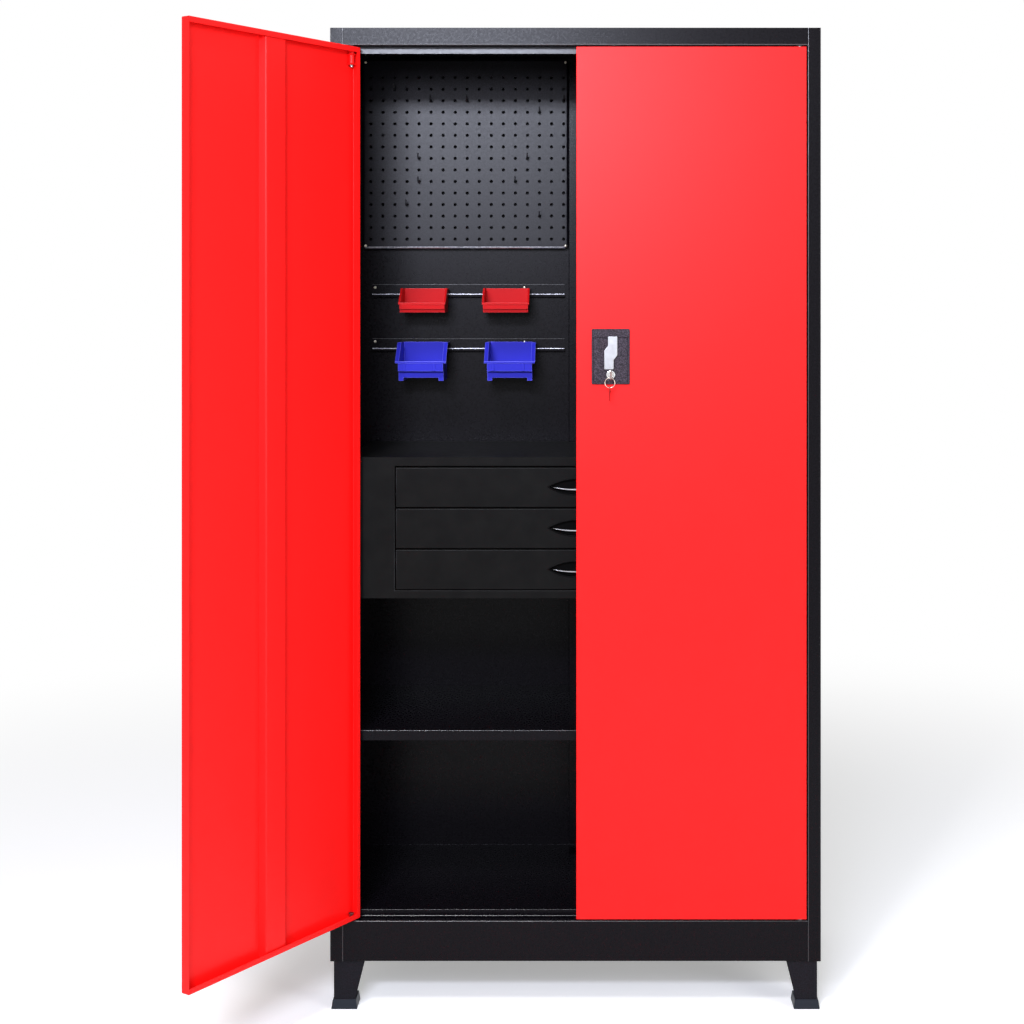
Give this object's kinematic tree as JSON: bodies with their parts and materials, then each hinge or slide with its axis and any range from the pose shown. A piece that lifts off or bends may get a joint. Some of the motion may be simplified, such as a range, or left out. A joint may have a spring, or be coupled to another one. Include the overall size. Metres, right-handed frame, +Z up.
{
  "type": "two door tool cabinet",
  "caption": "Free-standing steel tool cabinet with hinged doors, pegboard back, hanging bins, a drawer chest, a shelf and short legs.",
  "frame": {"origin": "on the floor under the middle of the carcass, doors left out", "axes": "+X to the right as seen from the front, +Y from the front to the back, +Z up"},
  "size_m": [1.0957, 0.7406, 1.8],
  "materials": {
    "carcass": "black speckled powder coat",
    "legs": "black powder coat",
    "foot_caps": "moulded dark grey",
    "doors": "red fine texture powder coat",
    "chest": "smooth satin black",
    "zinc": "zinc plated",
    "chrome": "bright",
    "black_plastic": "moulded",
    "lock_plate": "black crackle",
    "nylon": "natural nylon",
    "brass": "turned",
    "red_bin": "moulded",
    "blue_bin": "moulded"
  },
  "bodies": {
    "cabinet": {"left_side_panel": "carcass", "right_side_panel": "carcass", "top_panel": "carcass", "header_rail": "carcass", "floor_panel": "carcass", "front_plinth": "carcass", "rear_plinth": "carcass", "left_back_panel": "carcass", "right_back_panel": "carcass", "back_post": "carcass", "left_pegboard": "carcass", "right_pegboard": "carcass", "bin_rails": "carcass", "lower_shelf": "carcass", "chest_support_angles": "carcass", "corner_legs": "legs", "foot_caps": "foot_caps", "hinge_bushes": "nylon", "pegboard_hooks": "zinc", "panel_screws": "zinc", "shelf_clips": "zinc", "chest_casing": "chest", "chest_front_frame": "chest", "drawer_runners": "zinc"},
    "left_door": {"left_door_panel": "doors", "left_door_stiffener": "doors", "left_hinge_brackets": "doors", "left_hinge_pins": "zinc"},
    "right_door": {"right_door_panel": "doors", "right_door_stiffener": "doors", "right_hinge_brackets": "doors", "right_hinge_pins": "zinc", "lock_escutcheon": "lock_plate", "lock_housing": "black_plastic", "lock_cylinder": "chrome", "rod_guides": "black_plastic"},
    "lock_handle_body": {"lock_handle": "zinc", "lock_cam": "zinc"},
    "upper_rod": {"upper_lock_rod": "zinc"},
    "lower_rod": {"lower_lock_rod": "zinc"},
    "key": {"key_plug": "brass", "door_key": "zinc"},
    "ring": {"key_ring": "chrome", "spare_key": "zinc"},
    "bottom_drawer": {"bottom_drawer_front": "chest", "bottom_drawer_tray": "chest", "bottom_drawer_pull_cup": "black_plastic", "bottom_drawer_pull_bar": "chrome"},
    "middle_drawer": {"middle_drawer_front": "chest", "middle_drawer_tray": "chest", "middle_drawer_pull_cup": "black_plastic", "middle_drawer_pull_bar": "chrome"},
    "top_drawer": {"top_drawer_front": "chest", "top_drawer_tray": "chest", "top_drawer_pull_cup": "black_plastic", "top_drawer_pull_bar": "chrome"},
    "red_bin_outer_body": {"red_bin_outer": "red_bin"},
    "red_bin_inner_body": {"red_bin_inner": "red_bin"},
    "blue_bin_outer_body": {"blue_bin_outer": "blue_bin"},
    "blue_bin_inner_body": {"blue_bin_inner": "blue_bin"}
  },
  "joints": [
    {"name": "left_door_hinge", "type": "hinge", "parent": "cabinet", "child": "left_door", "pos_m": [-0.4115, -0.194, 0.96], "axis": [0, 0, -1], "range_deg": [-124, 6]},
    {"name": "right_door_hinge", "type": "hinge", "parent": "cabinet", "child": "right_door", "pos_m": [0.4115, -0.194, 0.96], "axis": [0, 0, 1], "range_deg": [0, 130]},
    {"name": "lock_handle_turn", "type": "hinge", "parent": "right_door", "child": "lock_handle_body", "pos_m": [0.0645, -0.2, 1.204], "axis": [0, -1, 0], "range_deg": [0, 90]},
    {"name": "upper_rod_slide", "type": "slide", "parent": "right_door", "child": "upper_rod", "axis": [0, 0, 1], "range_m": [0, 0.0151]},
    {"name": "lower_rod_slide", "type": "slide", "parent": "right_door", "child": "lower_rod", "axis": [0, 0, -1], "range_m": [0, 0.015]},
    {"name": "key_turn", "type": "hinge", "parent": "right_door", "child": "key", "pos_m": [0.0645, -0.204, 1.164], "axis": [0, -1, 0], "range_deg": [0, 90]},
    {"name": "key_ring_swing", "type": "hinge", "parent": "key", "child": "ring", "pos_m": [0.0645, -0.2215, 1.16], "axis": [1, 0, 0], "range_deg": [-90, 12]},
    {"name": "bottom_drawer_slide", "type": "slide", "parent": "cabinet", "child": "bottom_drawer", "axis": [0, -1, 0], "range_m": [0, 0.2205]},
    {"name": "middle_drawer_slide", "type": "slide", "parent": "cabinet", "child": "middle_drawer", "axis": [0, -1, 0], "range_m": [0, 0.2205]},
    {"name": "top_drawer_slide", "type": "slide", "parent": "cabinet", "child": "top_drawer", "axis": [0, -1, 0], "range_m": [0, 0.2205]},
    {"name": "red_bin_outer_lift", "type": "slide", "parent": "cabinet", "child": "red_bin_outer_body", "axis": [0, 0, 1], "range_m": [0, 0.012]},
    {"name": "red_bin_inner_lift", "type": "slide", "parent": "cabinet", "child": "red_bin_inner_body", "axis": [0, 0, 1], "range_m": [0, 0.012]},
    {"name": "blue_bin_outer_lift", "type": "slide", "parent": "cabinet", "child": "blue_bin_outer_body", "axis": [0, 0, 1], "range_m": [0, 0.012]},
    {"name": "blue_bin_inner_lift", "type": "slide", "parent": "cabinet", "child": "blue_bin_inner_body", "axis": [0, 0, 1], "range_m": [0, 0.012]}
  ],
  "couplings": [
    {"joint": "upper_rod_slide", "follows": "lower_rod_slide", "ratio": 1},
    {"joint": "lock_handle_turn", "follows": "lower_rod_slide", "rad_per_m": 104.72},
    {"joint": "bottom_drawer_slide", "follows": "right_door_hinge", "m_per_rad": 0.09696},
    {"joint": "middle_drawer_slide", "follows": "right_door_hinge", "m_per_rad": 0.09696},
    {"joint": "top_drawer_slide", "follows": "right_door_hinge", "m_per_rad": 0.09696}
  ]
}
